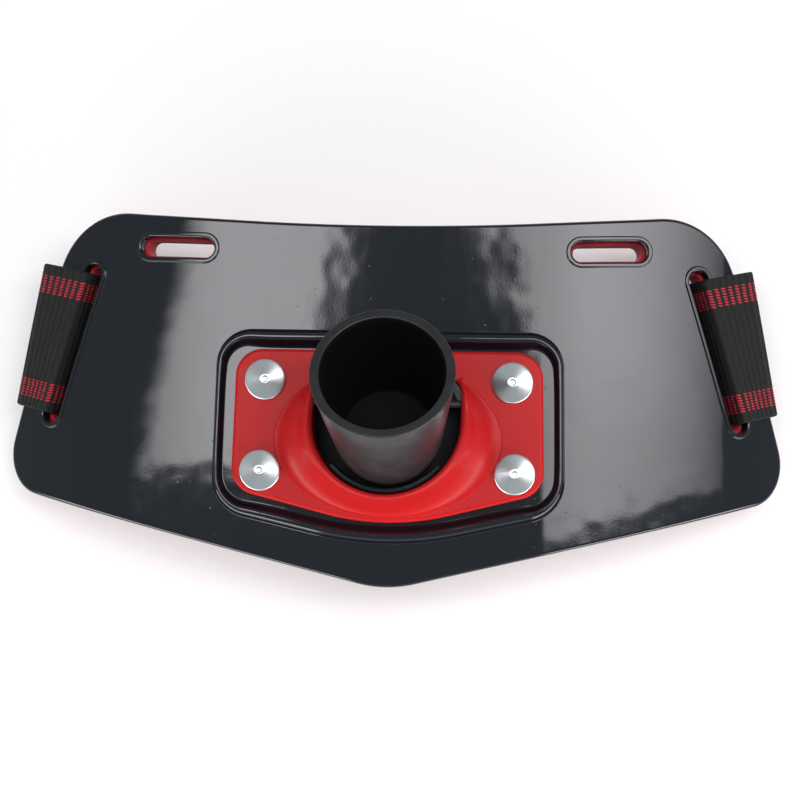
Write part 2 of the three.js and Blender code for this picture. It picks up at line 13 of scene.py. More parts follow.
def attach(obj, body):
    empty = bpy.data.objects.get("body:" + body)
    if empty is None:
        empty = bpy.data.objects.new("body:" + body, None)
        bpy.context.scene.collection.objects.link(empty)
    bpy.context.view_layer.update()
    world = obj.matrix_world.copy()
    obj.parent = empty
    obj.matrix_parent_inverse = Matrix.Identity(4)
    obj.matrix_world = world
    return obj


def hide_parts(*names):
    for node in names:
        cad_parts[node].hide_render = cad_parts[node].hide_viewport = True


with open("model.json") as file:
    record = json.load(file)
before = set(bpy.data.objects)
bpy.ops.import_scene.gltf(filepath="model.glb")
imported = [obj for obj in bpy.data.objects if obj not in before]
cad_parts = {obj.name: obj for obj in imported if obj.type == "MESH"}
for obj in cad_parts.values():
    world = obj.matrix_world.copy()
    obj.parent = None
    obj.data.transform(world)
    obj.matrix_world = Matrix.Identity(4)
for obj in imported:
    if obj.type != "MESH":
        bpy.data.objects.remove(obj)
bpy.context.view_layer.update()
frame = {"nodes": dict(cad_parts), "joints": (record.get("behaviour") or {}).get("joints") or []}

MM = 0.001
hinge = frame["joints"][0]["pos_m"]

# Sizes in millimetres, as the plate was drawn: flat pattern along X and Y, height over its face
PIN_UP = -2.0
PIN_HEIGHT = 7.0
REFERENCE = Vector((hinge[0], hinge[1] - PIN_UP * MM, hinge[2] - PIN_HEIGHT * MM))
GAP = 0.3
FLAT_HALF = 50.0
BEND_RADIUS = 140.0
SHELL_THICKNESS = 3.0
PAD_THICKNESS = 8.0
PAD_INSET = 1.5
PAD_ROUND = {"top": 0.8, "low": 2.6, "slot_top": 0.6, "slot_low": 1.6}
SHELL_ROUND = {"top": 1.25, "low": 0.9}
PLATE_DEPTH = SHELL_THICKNESS + GAP + PAD_THICKNESS

TOP_MIDDLE = 59.0
TOP_RISE = 6.4
TOP_CORNER = {"half": 112.0, "radius": 27.0}
LOW_CORNER = {"half": 143.7, "drop": 28.7, "radius": 15.0}
TIP = {"drop": 63.4, "radius": 40.0}
OUTLINE_STEP = 1.6
WING_STRIP = 2.4

TOP_SLOT = {"along": 73.0, "up": 51.0, "length": 26.0, "width": 7.0, "turn": 2.4}
SIDE_SLOT = {"up": 19.0, "inset": 14.4, "width": 7.0, "spare": 6.6}
SLOT_LIP = {"width": 1.5, "height": 0.6, "foot": 0.35, "shoulder": 0.22, "edge": 0.7,
            "low_edge": 0.4}
PAD_SLOT_INSET = 0.8

BEAD = {"top": 23.3, "top_half": 58.0, "low_half": 59.0, "low_drop": 37.5, "tip": 51.0,
        "corner": 12.0, "low": 14.0, "point": 110.0, "width": 6.5, "narrow": 3.6}
COVER = {"top": 16.3, "top_half": 51.0, "low_half": 52.0, "low_drop": 30.5, "tip": 43.6,
         "corner": 9.0, "low": 9.0, "point": 85.0, "thickness": 3.4, "round": 1.3,
         "low_round": 0.3, "hole_play": 0.6}
COVER_TOP = GAP + COVER["thickness"]
MOUTH = {"radius": 24.3, "drop": 8.0, "top": 9.0, "corner": 8.0}
COLLAR = {"half": 37.5, "up": 25.5, "drop": 13.8, "height": 16.3, "fade": 6.0, "edge": 1.2,
          "rim": 0.5, "centre_rise": 3.0, "least_run": 1.0, "round": 1.1, "foot_step": 0.5}
STOP_LIP = {"width": 2.0, "top": 16.3, "half_angle": 50.0, "round": 0.7}

CUP = {"length": 46.0, "mouth": 22.8, "base": 17.0, "wall": 3.0, "floor": 7.0, "lip": 0.4,
       "foot": 1.6}
CUP_WELL = {"top": 4.0, "bottom": 3.2, "depth": 0.4}
CUP_BASE = {"slide": 0.9, "up": -14.3, "height": 8.9}
ROD_LEAN = 23.5

RIVET = {"head": 6.8, "height": 2.6, "rim": 0.8, "shoulder": 0.5, "shank": 2.4, "tail": 4.0,
         "tail_height": 1.2, "tail_edge": 0.4, "seat_edge": 0.15, "rim_drop": 0.3,
         "cone_top": 1.3}
# Rows (radius, drop below the cone's top)
RIVET_DIMPLE = [(1.1, 0.02), (0.95, 0.12), (0.5, 0.16), (0, 0.16)]
RIVET_ROWS = [
    {"name": "upper", "half": 41.1, "up": 5.9},
    {"name": "lower", "half": 42.2, "up": -24.4},
]

WEBBING = {"width": 50.0, "thickness": 1.7, "lean": 13.0, "play": 0.35,
           "slot_play": 0.55, "turn": 2.2, "slot_turn": 6.6, "outer": 4.5, "fold_play": 1.0}
TAIL = {"length": 32.0, "ramp": 11.0, "turn": 3.0}
BUCKLE = {"bar": 5.0, "opening": 11.0, "rail": 5.0, "thickness": 3.5, "corner": 5.0,
          "hole_corner": 1.4, "round": 0.9}
RIB = {"pitch": 2.3, "depth": 0.4}

NEAR_ZERO = 1e-9

# Directions in which a profile's surface faces, in radians from straight outwards
UP = math.pi / 2
LEVEL = 0.0
INWARD = math.pi


# Camera and studio, in metres

def make_camera():
    """Looks down on the part, a little turned, pitched and rolled, in degrees."""
    distance, lens, shift = 0.700, 94.5, 0.0139
    turn, pitch, roll = 3.5, 5.0, 1.2
    w, p, r = (math.radians(angle) for angle in (turn, pitch, roll))
    back = Vector((math.sin(w) * math.cos(p), -math.sin(p), math.cos(w) * math.cos(p)))
    level_right = Vector((0, 1, 0)).cross(back).normalized()
    level_up = back.cross(level_right)
    right = math.cos(r) * level_right + math.sin(r) * level_up
    up = math.cos(r) * level_up - math.sin(r) * level_right
    camera = linked("camera", bpy.data.cameras.new("camera"))
    camera.data.lens = lens
    camera.data.shift_x = shift
    rotation = Matrix((right, up, back)).transposed().to_4x4()
    camera.matrix_world = Matrix.Translation(REFERENCE + distance * back) @ rotation
    bpy.context.scene.camera = camera


PANEL_HEIGHT = 1.2
PANEL_FAR_EDGE = 0.5
PANEL_TINT = (0.99, 0.965, 1.0)
STAND_SIZE = (1.4, 0.4)
FLOOR_HALF = 6.0


def make_panel(name, size, radiance):
    """A rectangular softbox."""
    light = bpy.data.lights.new(name, "AREA")
    light.shape = "RECTANGLE"
    light.size, light.size_y = size
    light.energy = radiance * math.pi * light.size * light.size_y
    return linked(name, light)


def hang_panel(name, low, high, radiance, shares):
    """A softbox that looks straight down, from its low and high corner."""
    panel = make_panel(name, (high[0] - low[0], high[1] - low[1]), radiance)
    panel.data.color = PANEL_TINT
    panel.location = ((low[0] + high[0]) / 2, (low[1] + high[1]) / 2, PANEL_HEIGHT)
    shade_panel(panel.data, shares)


def stand_panel(name, place, radiance):
    """A low softbox that stands beside the part and faces its middle."""
    panel = make_panel(name, STAND_SIZE, radiance)
    facing = (-place).to_track_quat("-Z", "Y").to_matrix().to_4x4()
    panel.matrix_world = Matrix.Translation(place) @ facing


def shade_panel(light, shares):
    """Multiplies a panel's light by shares. Each one blends from its first to its second share
    while `x - slope * y` goes from `start` to `end`."""
    light.use_nodes = True
    s = Nodes(light.node_tree)
    place = s.split(s.node("NewGeometry").outputs["Position"])
    total = 1.0
    for slope, start, end, first, second in shares:
        slant = s.math("MULTIPLY_ADD", place["Y"], -slope, place["X"])
        share = s.spread(slant, start, end, first, second, interpolation_type="SMOOTHSTEP")
        total = s.math("MULTIPLY", total, share)
    s.feed(s.nodes["Emission"].inputs["Strength"], total)


def make_studio():
    """Two hanging panels that the plate mirrors, three standing ones, a pale room and a floor."""
    ends_at_middle = (0.1, -0.16, -0.136, 1.0, 0.0)
    starts_on_slant = (2.1, -1.25, -1.0, 0.0, 1.0)
    brighter_inwards = (0.0, -1.1, -0.25, 0.55, 1.0)
    hang_panel("panel_left", (-1.3, 0.04), (-0.08, PANEL_FAR_EDGE), 7.2,
               (ends_at_middle, starts_on_slant, brighter_inwards))
    starts_at_middle = (-0.35, 0.098, 0.12, 0.0, 1.0)
    softer_at_middle = (0.0, 0.0, 0.45, 0.74, 1.0)
    fades_outwards = (0.0, 0.3, 2.3, 1.0, 0.1)
    near_edge_on_slant = (17.4, 0.45, 0.61, 1.0, 0.0)
    softer_near_edge = (-100.0, 4.0, 20.0, 0.8, 1.0)
    hang_panel("panel_right", (0.0, -0.03), (2.0, PANEL_FAR_EDGE), 7.6,
               (starts_at_middle, softer_at_middle, fades_outwards, near_edge_on_slant,
                softer_near_edge))
    stand_panel("stand_front", Vector((0, -1.3, 0.34)), 0.8)
    stand_panel("stand_left", Vector((-0.95, -0.95, 0.3)), 9.0)
    stand_panel("stand_right", Vector((0.95, -0.95, 0.3)), 10.0)

    world = bpy.data.worlds.new("studio")
    bpy.context.scene.world = world
    world.use_nodes = True
    s = Nodes(world.node_tree)
    room, mirrored_room = (0.27, 0.275, 0.28), (0.32, 0.37, 0.38)
    mirrored = s.node("LightPath").outputs["Is Glossy Ray"]
    s.feed(s.nodes["Background"].inputs["Color"], s.mix(mirrored, room, mirrored_room))

    sheet = bpy.data.meshes.new("floor")
    corners = [(x * FLOOR_HALF, y * FLOOR_HALF, 0)
               for x, y in ((-1, -1), (1, -1), (1, 1), (-1, 1))]
    sheet.from_pydata(corners, [], [(0, 1, 2, 3)])
    sheet.update()
    floor = linked("floor", sheet)
    floor.data.materials.append(floor_material())
    bpy.context.scene.view_settings.view_transform = "Standard"


# Node helpers

class Nodes:
    """Short ways to add nodes to a tree."""

    def __init__(self, tree):
        self.nodes = tree.nodes
        self.links = tree.links

    def node(self, kind, inputs=(), **settings):
        made = self.nodes.new("ShaderNode" + kind)
        for setting, value in settings.items():
            setattr(made, setting, value)
        for socket, value in dict(inputs).items():
            self.feed(made.inputs[socket], value)
        return made

    def feed(self, socket, value):
        if isinstance(value, bpy.types.NodeSocket):
            self.links.new(value, socket)
        else:
            socket.default_value = value

    def split(self, vector):
        """The X, Y and Z of a vector."""
        return self.node("SeparateXYZ", {"Vector": vector}).outputs

    def spread(self, value, low, high, to_low, to_high, **settings):
        """Takes the range from low to high to the range from to_low to to_high."""
        made = self.node("MapRange", {"Value": value, "From Min": low, "From Max": high,
                                      "To Min": to_low, "To Max": to_high}, **settings)
        return made.outputs["Result"]

    def math(self, operation, *values):
        made = self.node("Math", operation=operation)
        for socket, value in zip(made.inputs, values):
            self.feed(socket, value)
        return made.outputs["Value"]

    def from_middle(self, value):
        """From -0.5 to 0.5 over each whole step of a value."""
        return self.math("SUBTRACT", self.math("FRACT", value), 0.5)

    def mix(self, share, first, second):
        made = self.node("Mix", data_type="RGBA")
        self.feed(made.inputs["Factor"], share)
        for socket, value in (("A", first), ("B", second)):
            self.feed(made.inputs[socket], (*value, 1) if isinstance(value, tuple) else value)
        return made.outputs["Result"]


class Shader(Nodes):
    """A material with a Principled shader."""

    def __init__(self, name, colour, roughness, **sockets):
        self.material = bpy.data.materials.new(name)
        self.material.use_nodes = True
        super().__init__(self.material.node_tree)
        self.surface = self.nodes["Principled BSDF"]
        self.wear(Base_Color=(*colour, 1), Roughness=roughness, **sockets)

    def wear(self, **inputs):
        """Feeds the shader's own sockets and returns the material."""
        for socket, value in inputs.items():
            self.feed(self.surface.inputs[socket.replace("_", " ")], value)
        return self.material

    def place(self):
        """Coordinates fixed to the piece, in metres."""
        return self.node("TexCoord").outputs["Object"]

    def stretched(self, scale):
        """The same coordinates, scaled; a small scale draws noise out along its axis."""
        return self.node("Mapping", {"Vector": self.place(), "Scale": scale}).outputs["Vector"]

    def kept(self, name):
        """The X, Y and Z that the mesh keeps for each point under a name."""
        return self.split(self.node("Attribute", attribute_name=name).outputs["Vector"])

    def noise(self, size, detail=3.0, rough=0.5, vector=None):
        """Noise whose features are about `size` wide, in metres or the vector's own unit."""
        inputs = {"Vector": vector or self.place(), "Scale": 1 / size, "Detail": detail,
                  "Roughness": rough}
        return self.node("TexNoise", inputs).outputs["Fac"]

    def mottle(self, size, detail):
        """Noise of full contrast, from 0 to 1."""
        return self.spread(self.noise(size, detail), 0.3, 0.7, 0.0, 1.0)

    def cells(self, scale):
        """Distance to the nearest of many points, `scale` of them to the metre."""
        inputs = {"Vector": self.place(), "Scale": scale}
        return self.node("TexVoronoi", inputs).outputs["Distance"]

    def bump(self, height, depth, strength, under=None):
        """Bump of `depth` metres for a height from 0 to 1."""
        inputs = {"Height": height, "Distance": depth, "Strength": strength}
        if under is not None:
            inputs["Normal"] = under
        return self.node("Bump", inputs).outputs["Normal"]


def floor_material():
    """White sheet lit from behind, so that shadows on it stay light."""
    s = Shader("pale_floor", (0.6, 0.6, 0.6), 0.9, Specular_IOR_Level=0.1,
               Emission_Color=(1, 1, 1, 1), Emission_Strength=0.33)
    tone = s.spread(s.noise(0.4), 0.3, 0.7, 0.59, 0.61)
    grey = s.node("CombineColor", {"Red": tone, "Green": tone, "Blue": tone})
    return s.wear(Base_Color=grey.outputs["Color"])


def shell_material():
    s = Shader("glossy_black_plastic", (0.006, 0.007, 0.010), 0.1, IOR=1.5)
    waves = s.bump(s.noise(0.025, 2.0), 0.0002, 1.0)
    grain = s.bump(s.noise(0.0009, 2.0), 0.000004, 0.6, waves)
    specks = s.bump(s.spread(s.cells(260.0), 0.0, 0.09, 1.0, 0.0), 0.00002, 0.5, grain)
    scuffs = s.noise(0.004, 6.0, 0.7, s.stretched((1.0, 0.12, 1.0)))
    polish = s.spread(scuffs, 0.45, 0.75, 0.05, 0.085)
    unpolished = s.math("MULTIPLY", mouth_pocket(s), 0.8)
    return s.wear(Roughness=s.math("MAXIMUM", polish, unpolished), Normal=specks)


def mouth_pocket(s):
    """1 on the unpolished floor of the pocket that the cup stands in, and 0 elsewhere."""
    place = s.split(s.place())
    across = s.math("SUBTRACT", place["X"], REFERENCE.x)
    up = s.math("SUBTRACT", place["Y"], REFERENCE.y - MOUTH["drop"] * MM)
    reach_out = s.math("ADD", s.math("MULTIPLY", across, across), s.math("MULTIPLY", up, up))
    near = s.math("LESS_THAN", reach_out, (MOUTH["radius"] * MM) ** 2)
    low = s.math("LESS_THAN", place["Z"], REFERENCE.z + COVER_TOP * MM)
    return s.math("MULTIPLY", near, low)


def foam_material():
    s = Shader("crimson_foam", (0.36, 0.006, 0.02), 0.8, Sheen_Weight=0.25, Sheen_Roughness=0.4)
    soft = s.bump(s.noise(0.006, 3.0), 0.00025, 0.35)
    skin = s.bump(s.cells(1300.0), 0.00012, 0.7, soft)
    colour = s.mix(s.mottle(0.012, 4.0), (0.30, 0.004, 0.016), (0.44, 0.010, 0.028))
    return s.wear(Base_Color=colour, Normal=skin)


def cover_material():
    s = Shader("red_moulded_plastic", (0.42, 0.009, 0.010), 0.4, IOR=1.5,
               Specular_IOR_Level=0.15)
    colour = s.mix(s.mottle(0.03, 3.0), (0.40, 0.008, 0.009), (0.45, 0.010, 0.011))
    peel = s.bump(s.noise(0.0022, 2.0), 0.00001, 0.4)
    rough = s.spread(s.noise(0.005, 5.0, 0.6), 0.4, 0.7, 0.32, 0.42)
    return s.wear(Base_Color=colour, Roughness=rough, Normal=peel)


def cup_material():
    """Satin outside; the deep inside, marked on the mesh, is dull and mirrors little, and its
    darker black is painted shade.
    """
    # The inside's darker black stands in for the shade deep in the cup: painted shade.
    outer_black, painted_shade_black = (0.010, 0.009, 0.010), (0.003, 0.003, 0.003)
    s = Shader("satin_black_plastic", outer_black, 0.38, IOR=1.5)
    inside = s.kept("lathe")["Z"]
    grain = s.bump(s.noise(0.0006, 3.0), 0.00002, 0.6)
    satin = s.spread(s.noise(0.006, 4.0, 0.6), 0.35, 0.7, 0.32, 0.46)
    return s.wear(Roughness=s.math("MAXIMUM", satin, s.math("MULTIPLY", inside, 0.75)),
                  Specular_IOR_Level=s.spread(inside, 0.0, 1.0, 0.5, 0.12),
                  Base_Color=s.mix(inside, outer_black, painted_shade_black), Normal=grain)


def turned_metal(name, colour, roughness):
    """Lathe-turned metal: faint rings of tool marks and a sheen drawn round the axis."""
    s = Shader(name, colour, roughness, Metallic=1.0, Anisotropic=0.6)
    radius = s.node("CombineXYZ", {"X": s.kept("lathe")["X"]}).outputs["Vector"]
    marks = s.bump(s.noise(0.6, 3.0, 0.6, radius), 0.00003, 0.25)
    round_axis = s.node("Tangent", direction_type="RADIAL", axis="Z").outputs["Tangent"]
    return s.wear(Tangent=round_axis, Normal=marks)


def steel_material():
    # Steel darkened far below its own colour, as painted shade for the gap round the pin.
    s = Shader("shade_darkened_drawn_steel", (0.055, 0.055, 0.06), 0.4, Metallic=1.0)
    lines = s.noise(0.0005, 3.0, 0.5, s.stretched((0.05, 1.0, 1.0)))
    return s.wear(Normal=s.bump(lines, 0.00002, 0.5),
                  Roughness=s.spread(lines, 0.3, 0.7, 0.34, 0.48))


def buckle_material():
    s = Shader("black_buckle_plastic", (0.010, 0.010, 0.011), 0.36)
    grain = s.bump(s.noise(0.0008, 3.0), 0.00004, 0.6)
    return s.wear(Roughness=s.spread(s.noise(0.006, 4.0), 0.3, 0.7, 0.3, 0.45), Normal=grain)


def webbing_material():
    """Black ribbed webbing with two bands of red floats; `weave` holds along and across in mm."""
    pitch, slant, wide, tall = 0.93, 0.5, 0.34, 0.35
    band_start, band_end, half = 3.5, 10.2, WEBBING["width"] / 2
    fine_rows, fine_slant, fine_height = 2.0 / pitch, 1.6, 0.6
    s = Shader("ribbed_webbing", (0.010, 0.010, 0.011), 0.62, Sheen_Weight=0.02,
               Specular_IOR_Level=0.28)
    weave = s.kept("weave")
    along, across = weave["X"], weave["Y"]
    column = s.from_middle(s.math("DIVIDE", along, RIB["pitch"]))
    row = s.from_middle(s.math("ADD", s.math("DIVIDE", across, pitch),
                               s.math("MULTIPLY", column, slant)))
    off_column = s.math("POWER", s.math("DIVIDE", column, wide), 2.0)
    off_row = s.math("POWER", s.math("DIVIDE", row, tall), 2.0)
    dash = s.spread(s.math("ADD", off_column, off_row), 0.7, 1.1, 1.0, 0.0)
    from_edge = s.math("SUBTRACT", half, s.math("ABSOLUTE", across))
    in_band = s.math("MULTIPLY", s.math("GREATER_THAN", from_edge, band_start),
                     s.math("LESS_THAN", from_edge, band_end))
    red = s.math("MULTIPLY", dash, in_band)
    fuzz = s.mottle(0.0011, 3.0)
    black = s.mix(fuzz, (0.002, 0.002, 0.002), (0.008, 0.008, 0.008))
    crimson = s.mix(fuzz, (0.26, 0.004, 0.012), (0.50, 0.015, 0.035))
    fine_row = s.from_middle(s.math("ADD", s.math("MULTIPLY", across, fine_rows),
                                    s.math("MULTIPLY", column, fine_slant)))
    fine = s.spread(s.math("ABSOLUTE", fine_row), 0.1, 0.5, 1.0, 0.0)
    height = s.math("MAXIMUM", s.math("MULTIPLY", fine, fine_height), red)
    threads = s.bump(height, 0.00022, 0.8)
    fibre = s.bump(s.noise(0.0003, 2.0), 0.00004, 0.5, threads)
    return s.wear(Base_Color=s.mix(red, black, crimson), Normal=fibre,
                  Roughness=s.spread(red, 0.0, 1.0, 0.72, 0.5))


# Outlines of the flat pattern, as arrays of points in millimetres

def rounded(rows, step=1.0):
    """Corners (x, y, radius) rounded to arcs, with a point about every `step` millimetres."""
    corners = [np.array(row[:2], float) for row in rows]
    points = []
    for i, (corner, row) in enumerate(zip(corners, rows)):
        radius = row[2]
        if not radius:
            points.append(corner)
            continue
        a = corners[i - 1] - corner
        b = corners[(i + 1) % len(rows)] - corner
        a, b = a / np.linalg.norm(a), b / np.linalg.norm(b)
        half = math.acos(max(-1.0, min(1.0, float(a @ b)))) / 2
        middle = (a + b) / np.linalg.norm(a + b)
        centre = corner + middle * radius / math.sin(half)
        start = corner + a * radius / math.tan(half) - centre
        end = corner + b * radius / math.tan(half) - centre
        first = math.atan2(start[1], start[0])
        sweep = math.remainder(math.atan2(end[1], end[0]) - first, 2 * math.pi)
        count = max(3, round(abs(sweep) * radius / step))
        for k in range(count + 1):
            angle = first + sweep * k / count
            points.append(centre + radius * np.array((math.cos(angle), math.sin(angle))))
    return spaced(np.array(points), step)


def spaced(points, step):
    """A closed outline with new points along its long straight stretches."""
    made = []
    for a, b in zip(points, np.roll(points, -1, axis=0)):
        count = max(1, round(float(np.linalg.norm(b - a)) / step))
        made.extend(a + (b - a) * k / count for k in range(count))
    return np.array(made)


def outward(points):
    """Unit normals of a closed anticlockwise outline."""
    along = np.roll(points, -1, axis=0) - np.roll(points, 1, axis=0)
    normal = np.stack((along[:, 1], -along[:, 0]), axis=1)
    return normal / np.linalg.norm(normal, axis=1, keepdims=True)


def mirrored(corners):
    """Corners (x, y, radius) of one side, as they follow on the other side."""
    return [(-x, y, radius) for x, y, radius in reversed(corners)]


def plate_outline():
    """A blunt tip below and a shallow hollow along the top."""
    hollow, hollow_points = 0.75, 31
    side = [(LOW_CORNER["half"], -LOW_CORNER["drop"], LOW_CORNER["radius"]),
            (TOP_CORNER["half"], TOP_MIDDLE + TOP_RISE, TOP_CORNER["radius"])]
    top = [(share * TOP_CORNER["half"], TOP_MIDDLE + TOP_RISE * share ** 2, 0)
           for share in np.linspace(hollow, -hollow, hollow_points)]
    return rounded([(0, -TIP["drop"], TIP["radius"]), *side, *top, *mirrored(side)],
                   OUTLINE_STEP)


def shield_outline(shield):
    """Outline of the cover, and of the bead round it."""
    side = [(shield["low_half"], -shield["low_drop"], shield["low"]),
            (shield["top_half"], shield["top"], shield["corner"])]
    return rounded([(0, -shield["tip"], shield["point"]), *side, *mirrored(side)])


def mouth_outline():
    """The housing's hole: half a circle below, and two round corners above."""
    radius, drop, corner = MOUTH["radius"], MOUTH["drop"], MOUTH["corner"]
    arc_points, corner_steps = 73, 16
    angles = np.linspace(math.pi, 2 * math.pi, arc_points)
    points = [(radius * math.cos(a), radius * math.sin(a) - drop) for a in angles]
    for side, first in ((1, 0.0), (-1, math.pi / 2)):
        for k in range(corner_steps + 1):
            angle = first + k / corner_steps * math.pi / 2
            points.append((side * (radius - corner) + corner * math.cos(angle),
                           MOUTH["top"] - corner + corner * math.sin(angle)))
    return spaced(np.array(points), 1.0)


# The plate's side edges lean, and so do the side slots and the webbing in them
EDGE_LEAN = math.atan2(LOW_CORNER["half"] - TOP_CORNER["half"],
                       TOP_MIDDLE + TOP_RISE + LOW_CORNER["drop"])
WEBBING_LEAN = math.radians(WEBBING["lean"])
SLOT_SLOPE = math.tan(EDGE_LEAN - WEBBING_LEAN)


def edge_at(up):
    """How far along the plate its side edge is at a height up it."""
    return LOW_CORNER["half"] - (up + LOW_CORNER["drop"]) * math.tan(EDGE_LEAN)


SIDE_SLOT_ALONG = edge_at(SIDE_SLOT["up"]) - SIDE_SLOT["inset"] / math.cos(EDGE_LEAN)
SIDE_SLOT_LENGTH = WEBBING["width"] / math.cos(EDGE_LEAN - WEBBING_LEAN) + SIDE_SLOT["spare"]


def slot_outlines(inset=0.0):
    """The four slots, as outlines with round ends in their places."""
    made = []
    end_steps = 16
    for side in (1, -1):
        side_turn = math.pi / 2 + side * EDGE_LEAN
        for along, up, turn, length, width in (
            (TOP_SLOT["along"], TOP_SLOT["up"], side * math.radians(TOP_SLOT["turn"]),
             TOP_SLOT["length"], TOP_SLOT["width"]),
            (SIDE_SLOT_ALONG, SIDE_SLOT["up"], side_turn, SIDE_SLOT_LENGTH, SIDE_SLOT["width"]),
        ):
            radius = width / 2 - inset
            half = length / 2 - width / 2
            points = []
            for end in (1, -1):
                for k in range(end_steps + 1):
                    angle = math.pi * (k / end_steps - 0.5) + (0 if end > 0 else math.pi)
                    points.append((end * half + radius * math.cos(angle),
                                   radius * math.sin(angle)))
            points = spaced(np.array(points), 1.0)
            turned = np.array(((math.cos(turn), math.sin(turn)),
                               (-math.sin(turn), math.cos(turn))))
            made.append(points @ turned + (side * along, up))
    return made


# Edge profiles, as rows (outwards, height, lean of the surface normal)

def arc(out, height, radius, start, end, steps=6, hollow=False):
    """Rows of an arc round a centre, with the surface outside it, or inside if hollow."""
    angles = [start + (end - start) * k / steps for k in range(steps + 1)]
    return [(out + radius * math.cos(angle), height + radius * math.sin(angle),
             angle + (math.pi if hollow else 0)) for angle in angles]


def profile_arc(out, height, radius, start, end, steps=6):
    """The same arc as points (outwards, height)."""
    return [row[:2] for row in arc(out, height, radius, start, end, steps)]


def edge_profile(low, high, top_round, low_round):
    """From the top face round the outer edge to the bottom face."""
    return (arc(-top_round, high - top_round, top_round, UP, LEVEL)
            + arc(-low_round, low + low_round, low_round, LEVEL, -UP))


def hole_profile(low, high, top_round, low_round):
    """From the top face down the wall of a hole to the bottom face."""
    return (arc(top_round, high - top_round, top_round, UP, INWARD)
            + arc(low_round, low + low_round, low_round, INWARD, INWARD + UP))


def slot_profile():
    """A raised lip round a slot, then its wall."""
    width, height = SLOT_LIP["width"], SLOT_LIP["height"]
    foot, shoulder, steps = SLOT_LIP["foot"], SLOT_LIP["shoulder"], 4
    return (arc(width + foot, foot, foot, -UP, -INWARD, steps, hollow=True)
            + arc(width - shoulder, height - shoulder, shoulder, LEVEL, UP, steps)
            + hole_profile(-SHELL_THICKNESS, height, SLOT_LIP["edge"], SLOT_LIP["low_edge"]))


# The bead from its outer to its inner side: share of its width, height in millimetres
BEAD_SECTION = [(0.00, 0.00), (0.06, 0.40), (0.15, 1.50), (0.25, 2.25), (0.34, 2.54), (0.43, 2.60),
                (0.52, 2.50), (0.60, 2.10), (0.72, 1.20), (0.85, 0.35), (0.94, 0.06), (1.00, 0.00)]
# The collar from its crest to its foot: share of its run, share of its fall
COLLAR_SECTION = [(0.02, 0.00), (0.12, 0.10), (0.30, 0.42), (0.55, 0.74), (0.80, 0.94),
                  (1.00, 1.00)]


def through(section, steps):
    """Even steps over a section, and a smooth curve through its values there."""
    shares, values = np.array(section).T
    wanted = np.linspace(shares[0], shares[-1], steps)
    return zip(wanted, smooth_through(shares, values, wanted))


# Mesh helpers. A mesh is drawn flat with a normal on each point, then bent with the plate

